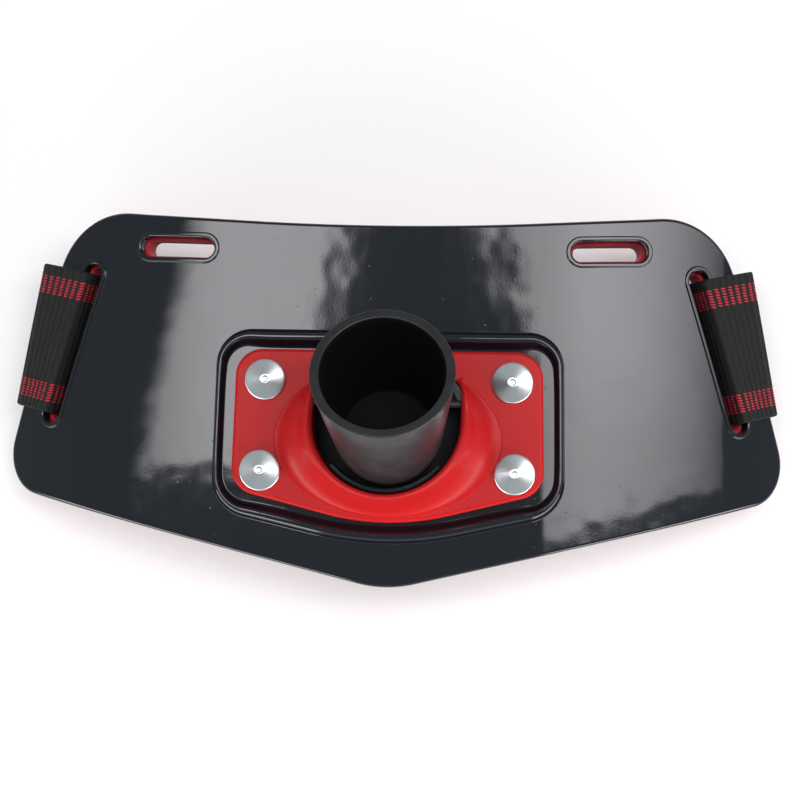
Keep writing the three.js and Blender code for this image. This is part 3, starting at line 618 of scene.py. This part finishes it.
class Sketch:
    """A mesh in the making."""

    def __init__(self):
        self.bm = bmesh.new()
        self.layer = self.bm.verts.layers.float_vector.new("drawn_normal")

    def ring(self, points, normals):
        """A row of points, each with its normal."""
        made = []
        for point, normal in zip(points, normals):
            vertex = self.bm.verts.new(point)
            vertex[self.layer] = Vector(normal)
            made.append(vertex)
        return made

    def wrap(self, outline, profile):
        """Sweeps a profile round an outline; returns its first and last ring."""
        normals = outward(outline)
        points = [[(x, y, height) for x, y in outline + normals * out]
                  for out, height, _ in profile]
        leans = [[(x * math.cos(lean), y * math.cos(lean), math.sin(lean)) for x, y in normals]
                 for _, _, lean in profile]
        rings = self.grid(points, leans, wrap_rows=False)
        return rings[0], rings[-1]

    def slab(self, outline, edge, holes, wall):
        """A flat piece: its outer edge, the walls of its holes, and its two faces."""
        top, bottom = self.wrap(outline, edge)
        walls = [self.wrap(hole, wall) for hole in holes]
        self.fill(top, *(first for first, _ in walls))
        self.fill(bottom, *(last for _, last in walls))

    def welt(self, outline, section, narrow, broad):
        """A raised rim inside an outline, narrow at its sides and broad at top and bottom."""
        normals = outward(outline)
        blend_reach, rows_across = 12, 33
        width = narrow + (broad - narrow) * smoothed(normals[:, 1] ** 2, blend_reach)
        points = np.array([np.column_stack((outline - normals * (width * share)[:, None],
                                            np.full(len(outline), height)))
                           for share, height in through(section, rows_across)])
        leans = grid_normals(points, wrap_rows=False)
        leans[0] = leans[-1] = (0, 0, 1)
        rings = self.grid(points, leans, wrap_rows=False)
        return rings[0], rings[-1]

    def fill(self, *rings):
        """A flat face inside the first ring, with the other rings as holes."""
        edges = []
        for ring in rings:
            for a, b in zip(ring, ring[1:] + ring[:1]):
                edges.append(self.bm.edges.get((a, b)) or self.bm.edges.new((a, b)))
        bmesh.ops.triangle_fill(self.bm, edges=edges, use_beauty=True)

    def grid(self, points, normals, wrap_rows=True, wrap_columns=True):
        """A surface through rows of points, which closes both ways unless told otherwise."""
        rings = [self.ring(row, lean) for row, lean in zip(points, normals)]
        for first, second in zip(rings, rings[1:] + (rings[:1] if wrap_rows else [])):
            for i in range(len(first) if wrap_columns else len(first) - 1):
                j = (i + 1) % len(first)
                self.bm.faces.new((first[i], first[j], second[j], second[i]))
        return rings

    def slice(self):
        """Cuts the wings into narrow strips, so that they can bend."""
        along, on_plane = FLAT_HALF, 1e-5
        while along < LOW_CORNER["half"]:
            for side in (-1, 1):
                everything = self.bm.verts[:] + self.bm.edges[:] + self.bm.faces[:]
                bmesh.ops.bisect_plane(self.bm, geom=everything, dist=on_plane,
                                       plane_co=(side * along, 0, 0), plane_no=(1, 0, 0))
            along += WING_STRIP

    def finish(self, name, bend=False, drawn_normals=True):
        """The finished object, bent with the plate if asked, shaded by its drawn normals."""
        if bend:
            self.slice()
        bmesh.ops.recalc_face_normals(self.bm, faces=self.bm.faces)
        points = np.array([v.co for v in self.bm.verts])
        normals = np.array([v[self.layer] for v in self.bm.verts])
        if bend:
            points, normals = bent(points, normals)
        normals /= np.maximum(NEAR_ZERO, np.linalg.norm(normals, axis=1, keepdims=True))
        mesh = bpy.data.meshes.new(name)
        self.bm.to_mesh(mesh)
        self.bm.free()
        mesh.vertices.foreach_set("co", (points * MM + np.array(REFERENCE)).ravel())
        mesh.shade_smooth()
        if drawn_normals:
            mesh.normals_split_custom_set_from_vertices([tuple(n) for n in normals])
        mesh.update()
        return linked(name, mesh)


def bent(points, normals=None):
    """Bends flat-pattern points, and normals if given, with the wings of the plate."""
    along, up, height = points.T
    side = np.sign(along)
    turn = np.maximum(0, np.abs(along) - FLAT_HALF) / BEND_RADIUS
    flat = np.minimum(np.abs(along), FLAT_HALF)
    radius = BEND_RADIUS + height
    moved = np.stack((side * (flat + radius * np.sin(turn)), up,
                      radius * np.cos(turn) - BEND_RADIUS), axis=1)
    if normals is None:
        return moved
    cos, sin = np.cos(turn), np.sin(turn) * side
    x, y, z = normals.T
    return moved, np.stack((x * cos + z * sin, y, z * cos - x * sin), axis=1)


def linked(name, data):
    """An object of the scene with this data."""
    made = bpy.data.objects.new(name, data)
    bpy.context.scene.collection.objects.link(made)
    return made


def smoothed(values, reach_out):
    """Running mean round a closed loop."""
    return np.mean([np.roll(values, k) for k in range(-reach_out, reach_out + 1)], axis=0)


def grid_normals(points, wrap_rows=True, wrap_columns=True, flip=False):
    """Normals of a grid surface, each from the points round it."""

    def change(axis, wrap):
        if wrap:
            return np.roll(points, -1, axis=axis) - np.roll(points, 1, axis=axis)
        return np.gradient(points, axis=axis)

    normal = np.cross(change(1, wrap_columns), change(0, wrap_rows))
    normal /= np.maximum(NEAR_ZERO, np.linalg.norm(normal, axis=2, keepdims=True))
    return -normal if flip else normal


def dress(piece, body, slot, material, *nodes):
    """The lines that every piece needs: its body, its finish and the nodes it stands for."""
    piece.data.materials.append(material)
    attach(piece, body)
    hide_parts(*nodes)
    return piece


# Pieces

def make_shell():
    """The plate with its lipped slots, the bead round the housing and the rim under the cup."""
    s = Sketch()
    top, bottom = s.wrap(plate_outline(), edge_profile(-SHELL_THICKNESS, 0, SHELL_ROUND["top"],
                                                       SHELL_ROUND["low"]))
    slots = [s.wrap(outline, slot_profile()) for outline in slot_outlines()]
    bead_out, bead_in = s.welt(shield_outline(BEAD), BEAD_SECTION, BEAD["narrow"], BEAD["width"])
    s.fill(top, bead_out, *(first for first, _ in slots))
    s.fill(bead_in)
    s.fill(bottom, *(last for _, last in slots))
    add_stop_lip(s)
    dress(s.finish("shell", bend=True), "plate", "shell", shell_material(), "shell")


def add_stop_lip(s):
    """Black rim inside the red collar, which the cup leans on."""
    outer = MOUTH["radius"] - GAP
    middle, half = outer - STOP_LIP["width"] / 2, STOP_LIP["width"] / 2
    sunk, top_round = -SHELL_THICKNESS / 2, STOP_LIP["round"]
    shoulder = STOP_LIP["top"] - top_round
    section = [(half, sunk)]
    section += profile_arc(half - top_round, shoulder, top_round, LEVEL, UP)
    section += profile_arc(top_round - half, shoulder, top_round, UP, INWARD)
    section = np.array(section + [(-half, sunk)])
    steps = 64
    rows = []
    for k in range(steps + 1):
        angle = -math.pi / 2 + math.radians(STOP_LIP["half_angle"]) * (2 * k / steps - 1)
        radius = middle + section[:, 0]
        rows.append(np.stack((radius * math.cos(angle), radius * math.sin(angle) - MOUTH["drop"],
                              section[:, 1]), axis=1))
    points = np.array(rows)
    normals = grid_normals(points, wrap_rows=False, wrap_columns=False, flip=True)
    rings = s.grid(points, normals, wrap_rows=False, wrap_columns=False)
    for a, b in zip(rings, rings[1:]):
        s.bm.faces.new((a[0], b[0], b[-1], a[-1]))
    for end in (rings[0], rings[-1]):
        s.bm.faces.new(end)


def make_pad():
    """The foam behind the plate, with slots a little narrower than the plate's."""
    s = Sketch()
    high, low = -SHELL_THICKNESS - GAP, -PLATE_DEPTH
    outline = plate_outline()
    outline = outline - outward(outline) * PAD_INSET
    s.slab(outline, edge_profile(low, high, PAD_ROUND["top"], PAD_ROUND["low"]),
           slot_outlines(PAD_SLOT_INSET),
           hole_profile(low, high, PAD_ROUND["slot_top"], PAD_ROUND["slot_low"]))
    pad = dress(s.finish("back_pad", bend=True), "plate", "foam", foam_material(), "back_pad")


def reach(outline, centre, angles):
    """Distance from a centre to an outline in each direction."""
    offset = outline - centre
    around = np.arctan2(offset[:, 1], offset[:, 0]) % (2 * math.pi)
    order = np.argsort(around)
    return np.interp(angles, around[order], np.linalg.norm(offset, axis=1)[order],
                     period=2 * math.pi)


def make_housing():
    """The red cover plate, with the collar round its hole."""
    s = Sketch()
    hole, play = mouth_outline(), COVER["hole_play"]
    s.slab(shield_outline(COVER),
           edge_profile(GAP, COVER_TOP, COVER["round"], COVER["low_round"]),
           [hole], [(play, COVER_TOP, UP), (play, GAP, -UP)])
    add_collar(s, hole)
    dress(s.finish("pivot_housing"), "plate", "cover", cover_material(), "pivot_housing")


def add_collar(s, mouth):
    """Flared wall round the mouth: high below the cup, fading out beside it."""
    points_round, run_steps, foot_steps, crest_points = 360, 24, 4, 7
    centre = np.array((0, COLLAR["centre_rise"] - COLLAR["drop"]))
    around = np.linspace(0, 2 * math.pi, points_round + 1)[:-1]
    foot = np.stack((COLLAR["half"] * np.cos(around),
                     COLLAR["up"] * np.sin(around) - COLLAR["drop"]), axis=1)
    near = reach(mouth, centre, around)
    far = np.maximum(reach(foot, centre, around), near + COLLAR["edge"] + COLLAR["least_run"])
    lowest = -MOUTH["drop"] - MOUTH["radius"]
    up = centre[1] + near * np.sin(around)
    share = np.clip((COLLAR["fade"] - up) / (COLLAR["fade"] - lowest), 0, 1)
    crest = COVER_TOP + np.maximum(COLLAR["rim"], COLLAR["height"] * np.sqrt(share))
    step_share, round_share = 0.5, 0.6
    foot_step = np.minimum(COLLAR["foot_step"], (crest - COVER_TOP) * step_share)
    round_in = np.minimum(COLLAR["round"], (crest - COVER_TOP) * round_share)

    # The wall inside the mouth, the crest, the flare, the step at its foot and the hidden side
    sunk, under_face, hidden_foot, inner_gap = GAP + 0.5, COVER_TOP - 0.2, COVER_TOP - 0.6, 0.4
    rows = [(near, np.full_like(near, height)) for height in (sunk, under_face)]
    for angle in np.linspace(INWARD, UP, crest_points):
        rows.append((near + round_in * (1 + math.cos(angle)),
                     crest - round_in + round_in * math.sin(angle)))
    start = near + np.maximum(COLLAR["edge"], round_in)
    base = COVER_TOP + foot_step
    for flare, drop in through(COLLAR_SECTION, run_steps):
        rows.append((start + (far - start) * flare, crest + (base - crest) * drop))
    foot_round_share = 0.8
    foot_round = foot_step * foot_round_share
    for angle in np.linspace(UP, 0, foot_steps + 1)[1:]:
        rows.append((far + foot_round * math.cos(angle),
                     base - foot_round * (1 - math.sin(angle))))
    rows.append((far + foot_round, np.full_like(near, hidden_foot)))
    rows.append((near + inner_gap, np.full_like(near, sunk)))
    points = np.array([np.stack((centre[0] + radius * np.cos(around),
                                 centre[1] + radius * np.sin(around), height), axis=1)
                       for radius, height in rows])
    s.grid(points, grid_normals(points, flip=True))


def smooth_through(xs, ys, wanted):
    """A smooth monotone curve through a few points."""
    slopes = np.gradient(ys, xs)
    slopes[0] = slopes[-1] = 0
    i = np.clip(np.searchsorted(xs, wanted) - 1, 0, len(xs) - 2)
    width = xs[i + 1] - xs[i]
    t = (wanted - xs[i]) / width
    return (ys[i] * (1 + 2 * t) * (1 - t) ** 2 + slopes[i] * width * t * (1 - t) ** 2
            + ys[i + 1] * t ** 2 * (3 - 2 * t) + slopes[i + 1] * width * t ** 2 * (t - 1))


def turned(name, profile, sides, place, inside=None):
    """A lathe-turned piece; profile rows are (radius, height) from axis to axis. Each point
    keeps its radius and height, and whether its row is one of the `inside` rows."""
    s = Sketch()
    profile = np.array(profile, float)
    angles = np.linspace(0, 2 * math.pi, sides + 1)[:-1]
    least_radius = 1e-3
    radii = np.maximum(profile[:, 0], least_radius)
    points = np.array([np.stack((radius * np.cos(angles), radius * np.sin(angles),
                                 np.full_like(angles, height)), axis=1)
                       for radius, height in zip(radii, profile[:, 1])])
    matrix = np.array(place)
    points = points @ matrix[:3, :3].T + matrix[:3, 3]
    rings = s.grid(points, grid_normals(points, wrap_rows=False), wrap_rows=False)
    s.bm.faces.new(rings[0])
    s.bm.faces.new(rings[-1])
    marks = np.zeros(len(profile))
    if inside is not None:
        marks[inside] = 1
    made = s.finish(name, drawn_normals=False)
    rows = np.repeat(np.column_stack((profile, marks)), sides, axis=0)
    lathe = made.data.attributes.new("lathe", "FLOAT_VECTOR", "POINT")
    lathe.data.foreach_set("vector", rows.ravel())
    return made


def make_cup():
    """The rod cup, from the middle of its base round its mouth to the well in its floor."""
    sides, wall_shares, first_share = 160, (0.25, 0.5, 0.75), 0.06
    length, wall, base, mouth = CUP["length"], CUP["wall"], CUP["base"], CUP["mouth"]
    lip, foot, floor = CUP["lip"], CUP["foot"], CUP["floor"]
    inner_base = base - wall + (mouth - base) * floor / length
    profile = [(0, 0)]
    profile += profile_arc(base - foot, foot, foot, -UP, LEVEL)
    profile += [(base + (mouth - base) * share, length * share) for share in wall_shares]
    profile += profile_arc(mouth - lip, length - lip, lip, LEVEL, UP)
    profile += profile_arc(mouth - wall + lip, length - lip, lip, UP, INWARD)
    rim = len(profile)
    profile += [(mouth - wall + (inner_base - mouth + wall) * share,
                 length + (floor - length) * share) for share in (first_share, *wall_shares)]
    profile += profile_arc(inner_base - foot, floor + foot, foot, LEVEL, -UP)
    well = floor - CUP_WELL["depth"]
    profile += [(CUP_WELL["top"], floor), (CUP_WELL["bottom"], well), (0, well)]
    place = (Matrix.Translation((CUP_BASE["slide"], CUP_BASE["up"], CUP_BASE["height"]))
             @ Matrix.Rotation(-math.radians(ROD_LEAN), 4, "X"))
    cup = turned("rod_cup", profile, sides, place, slice(rim, None))
    dress(cup, "cup", "cup", cup_material(), "rod_cup")


def make_rivets():
    """Four rivets: tail, shank, and a head with a cone and a dimple."""
    sides, edge_lean, edge_steps, cone_shares = 96, 1.2, 5, (0.1, 0.3, 0.5, 0.7, 0.9, 1)
    head, shank, tail, shoulder = (RIVET[key] for key in ("head", "shank", "tail", "shoulder"))
    seat, back = COVER_TOP + GAP, -SHELL_THICKNESS - GAP / 2
    low, top = back - RIVET["tail_height"], seat + RIVET["height"]
    tail_edge, seat_edge = RIVET["tail_edge"], RIVET["seat_edge"]
    rim = seat + RIVET["rim"] - RIVET["rim_drop"]
    profile = [(0, low), (tail - tail_edge, low), (tail, low + tail_edge), (tail, back),
               (shank, back), (shank, seat), (head - seat_edge, seat), (head, seat + seat_edge),
               (head, rim)]
    profile += profile_arc(head - shoulder, rim, shoulder, LEVEL, edge_lean, edge_steps)
    cone_out, cone_up = profile[-1]
    profile += [(cone_out + (RIVET["cone_top"] - cone_out) * share,
                 cone_up + (top - cone_up) * share) for share in cone_shares]
    profile += [(radius, top - drop) for radius, drop in RIVET_DIMPLE]
    metal = turned_metal("turned_aluminium", (0.76, 0.76, 0.77), 0.3)
    for row in RIVET_ROWS:
        for x, word in ((-row["half"], "right"), (row["half"], "left")):
            name = f"rivet_{row['name']}_{word}"
            place = Matrix.Translation((x, row["up"], 0))
            rivet = turned(name + "_turned", profile, sides, place)
            dress(rivet, "plate", "rivet", metal, name)


# The webbing's route, repeated from the part's source. It leaves the buckle behind the plate,
# comes up through a side slot, folds over the plate's edge and goes back to the buckle

def side_point(out, across, height):
    """A point of the bent plate, measured from its side slot and with the webbing's lean."""
    cos, sin = math.cos(WEBBING_LEAN), math.sin(WEBBING_LEAN)
    flat = np.array([[SIDE_SLOT_ALONG + out * cos - across * sin,
                      SIDE_SLOT["up"] + out * sin + across * cos, height]])
    return bent(flat)[0]


EDGE_TURN = (edge_at(0) - FLAT_HALF) / BEND_RADIUS
UNDERSIDE = (BEND_RADIUS - PLATE_DEPTH) * math.cos(EDGE_TURN) - BEND_RADIUS
THICK, PLAY = WEBBING["thickness"], WEBBING["play"]
FLOOR_HEIGHT = UNDERSIDE - THICK - 2 * GAP
FIRST_LAYER = FLOOR_HEIGHT + THICK / 2
SECOND_LAYER = FIRST_LAYER + THICK + GAP
BUCKLE_BOTTOM = FLOOR_HEIGHT + THICK + PLAY
OVER_BAR = BUCKLE_BOTTOM + BUCKLE["thickness"] + PLAY + THICK / 2
BAR_AT = BUCKLE["bar"] + BUCKLE["opening"]
FOLD_ALONG = (SIDE_SLOT["inset"] + WEBBING["width"] / 2 * SLOT_SLOPE + PLAY + THICK / 2
              + WEBBING["fold_play"])
FOLD_PLAN = bent(np.array([[SIDE_SLOT_ALONG + FOLD_ALONG * math.cos(WEBBING_LEAN), 0, 0]]))[0][0]
FOLD_UP = SIDE_SLOT["up"] + FOLD_ALONG * math.sin(WEBBING_LEAN)
PLAN_SLOPE = math.tan(WEBBING_LEAN)
PLAN_CURVE = PLAN_SLOPE / (2 * (FOLD_PLAN - BAR_AT))
BUCKLE_UP = FOLD_UP - PLAN_SLOPE * (FOLD_PLAN - BAR_AT) / 2


def behind(out, across, height):
    """A point of the level stretch behind the plate, which curves up towards the fold."""
    run = max(0.0, out - BAR_AT)
    lean = math.atan(2 * PLAN_CURVE * run)
    return np.array((out - across * math.sin(lean),
                     BUCKLE_UP + PLAN_CURVE * run ** 2 + across * math.cos(lean), height))


def drop_to(out, across, layer):
    """Where a line through the plate at right angles comes to the height of a layer."""
    front, back = side_point(out, across, 0), side_point(out, across, -PLATE_DEPTH)
    return front + (back - front) * (layer - front[2]) / (back[2] - front[2])


def webbing_line(across):
    """Corners of one line of the webbing, each with the size of its rounding."""
    turn, outer = WEBBING["turn"], WEBBING["outer"]
    slot = -across * SLOT_SLOPE + SIDE_SLOT["width"] / 2 - PAD_SLOT_INSET - WEBBING["slot_play"]
    slot -= THICK / 2
    front = SLOT_LIP["height"] + PLAY + THICK / 2
    foot = drop_to(slot, across, SECOND_LAYER)
    line = [
        (behind(foot[0] + across * PLAN_SLOPE - TAIL["length"], across, SECOND_LAYER), 0),
        (foot, WEBBING["slot_turn"]),
        (side_point(slot, across, -PLATE_DEPTH), 0),
        (side_point(slot, across, -PLATE_DEPTH / 2), 0),
        (side_point(slot, across, front), turn),
        (side_point(FOLD_ALONG, across, front), outer),
        (drop_to(FOLD_ALONG, across, FIRST_LAYER), outer),
    ]
    line += [(behind(BAR_AT + (FOLD_PLAN - BAR_AT) * share, across, FIRST_LAYER), 0)
             for share in (0.8, 0.6, 0.4, 0.2)]
    inside = BAR_AT - BUCKLE["bar"] / 2 - PLAY - THICK / 2
    sewn = BAR_AT + TAIL["ramp"]
    return line + [
        (behind(inside, across, FIRST_LAYER), turn),
        (behind(inside, across, OVER_BAR), turn),
        (behind(BAR_AT + BUCKLE["bar"], across, OVER_BAR), turn),
        (behind(sewn, across, SECOND_LAYER), TAIL["turn"]),
        (behind(sewn + TAIL["length"], across, SECOND_LAYER), 0),
    ]


def round_line(line, steps=12):
    """Points along a line of corners, each rounded by its size or to about half a side."""
    points, most = [], 0.49
    for i, (at, radius) in enumerate(line):
        if not radius:
            points.append(at)
            continue
        before, after = line[i - 1][0] - at, line[i + 1][0] - at
        reach_back, reach_on = np.linalg.norm(before), np.linalg.norm(after)
        first = at + before * min(radius / reach_back, most)
        last = at + after * min(radius / reach_on, most)
        for k in range(steps + 1):
            t = k / steps
            points.append(first * (1 - t) ** 2 + at * 2 * t * (1 - t) + last * t ** 2)
    return np.array(points)


def rib_height(along):
    """One broad rib and one fine one for each repeat of the weave, from 0 to 1."""
    broad_half, broad_power, fine_half, fine_height = 0.37, 0.6, 0.09, 0.45
    phase = (along / RIB["pitch"]) % 1.0
    broad = np.clip(1 - (np.abs(phase - 0.5) / broad_half) ** 2, 0, 1) ** broad_power
    fine = np.clip(1 - (np.minimum(phase, 1 - phase) / fine_half) ** 2, 0, 1)
    return np.maximum(broad, fine_height * fine)


def rows_at(rows, places):
    """Rows of an array at places between its whole indices, in a straight blend."""
    low = np.minimum(places.astype(int), len(rows) - 2)
    share = (places - low)[:, None, None]
    return rows[low] * (1 - share) + rows[low + 1] * share


def webbing_grid(stations):
    """The webbing's middle surface, as a grid of points along it and across it, how far along
    each row is, and the whole length."""
    half, lines_across, steps_a_rib = WEBBING["width"] / 2, 9, 8
    lines = np.array([round_line(webbing_line(across))
                      for across in np.linspace(-half, half, lines_across)])
    middle = lines[len(lines) // 2]
    length = np.concatenate(([0], np.cumsum(np.linalg.norm(np.diff(middle, axis=0), axis=1))))
    along = np.arange(0, length[-1], RIB["pitch"] / steps_a_rib)
    lines = rows_at(np.transpose(lines, (1, 0, 2)),
                    np.interp(along, length, np.arange(len(length))))
    lines = rows_at(np.transpose(lines, (1, 0, 2)),
                    (stations + half) / (2 * half) * (lines_across - 1))
    return np.transpose(lines, (1, 0, 2)), along, length[-1]


def make_strap(side, material):
    """One loop of webbing with soft edges and raised ribs, on the left where side is 1."""
    half, edge = WEBBING["width"] / 2, THICK / 2
    edge_stations, flat_stations, first_lean, thinnest = 4, 26, 0.25, 0.02
    corner = np.array([edge * (1 - math.cos(lean))
                       for lean in np.linspace(first_lean, UP, edge_stations)])
    flat = np.linspace(-half + edge, half - edge, flat_stations)[1:-1]
    stations = np.concatenate((-half + corner, flat, (half - corner)[::-1]))
    centre, distances, length = webbing_grid(stations)
    normal = grid_normals(centre, wrap_rows=False, wrap_columns=False, flip=True)
    inwards = np.minimum(1, (half - np.abs(stations)) / edge)
    thickness = edge * np.sqrt(np.clip(1 - (1 - inwards) ** 2, thinnest, 1))
    ribs = RIB["depth"] * (rib_height(distances)[:, None] - 1) * inwards[None, :]
    lift = normal * (thickness[None, :] + ribs)[:, :, None]
    rows = np.concatenate((centre + lift, (centre - lift)[:, ::-1]), axis=1)
    if side < 0:
        rows[:, :, 0] *= -1
    s = Sketch()
    weave = s.bm.verts.layers.float_vector.new("weave")
    rings = s.grid(rows, np.zeros_like(rows), wrap_rows=False)
    for ring, along in zip(rings, distances):
        for vertex, across in zip(ring, np.concatenate((stations, stations[::-1]))):
            vertex[weave] = Vector((along, across, 0))
    for ring in (rings[0], rings[-1]):
        for i in range(len(ring) // 2 - 1):
            s.bm.faces.new((ring[i], ring[i + 1], ring[-2 - i], ring[-1 - i]))
    word = "left" if side > 0 else "right"
    strap = s.finish(f"strap_{word}_webbing", drawn_normals=False)
    dress(strap, "plate", "webbing", material, f"strap_{word}")


def make_buckle():
    """A plain slide with two openings; its bars carry the webbing's ends."""
    s = Sketch()
    reach_x = BAR_AT + BUCKLE["bar"] / 2
    open_up = WEBBING["width"] / 2 + PLAY + GAP
    reach_y = open_up + BUCKLE["rail"]

    def block(x, y, radius, middle):
        corners = [(middle - x, -y), (middle + x, -y), (middle + x, y), (middle - x, y)]
        return rounded([(*c, radius) for c in corners]) + (0, BUCKLE_UP)

    low, high, soft = BUCKLE_BOTTOM, BUCKLE_BOTTOM + BUCKLE["thickness"], BUCKLE["round"]
    half = (BAR_AT - BUCKLE["bar"]) / 2
    holes = [block(half, open_up, BUCKLE["hole_corner"], middle)
             for middle in (-BAR_AT / 2, BAR_AT / 2)]
    s.slab(block(reach_x, reach_y, BUCKLE["corner"], 0), edge_profile(low, high, soft, soft),
           holes, hole_profile(low, high, soft, soft))
    dress(s.finish("slide_buckle"), "plate", "buckle", buckle_material(), "belt_buckle")


make_camera()
make_studio()
make_shell()
make_pad()
make_housing()
make_cup()
make_rivets()
webbing = webbing_material()
make_strap(1, webbing)
make_strap(-1, webbing)
make_buckle()

pin = frame["nodes"]["pivot_pin"]
pin.data.materials.clear()
pin.data.materials.append(steel_material())
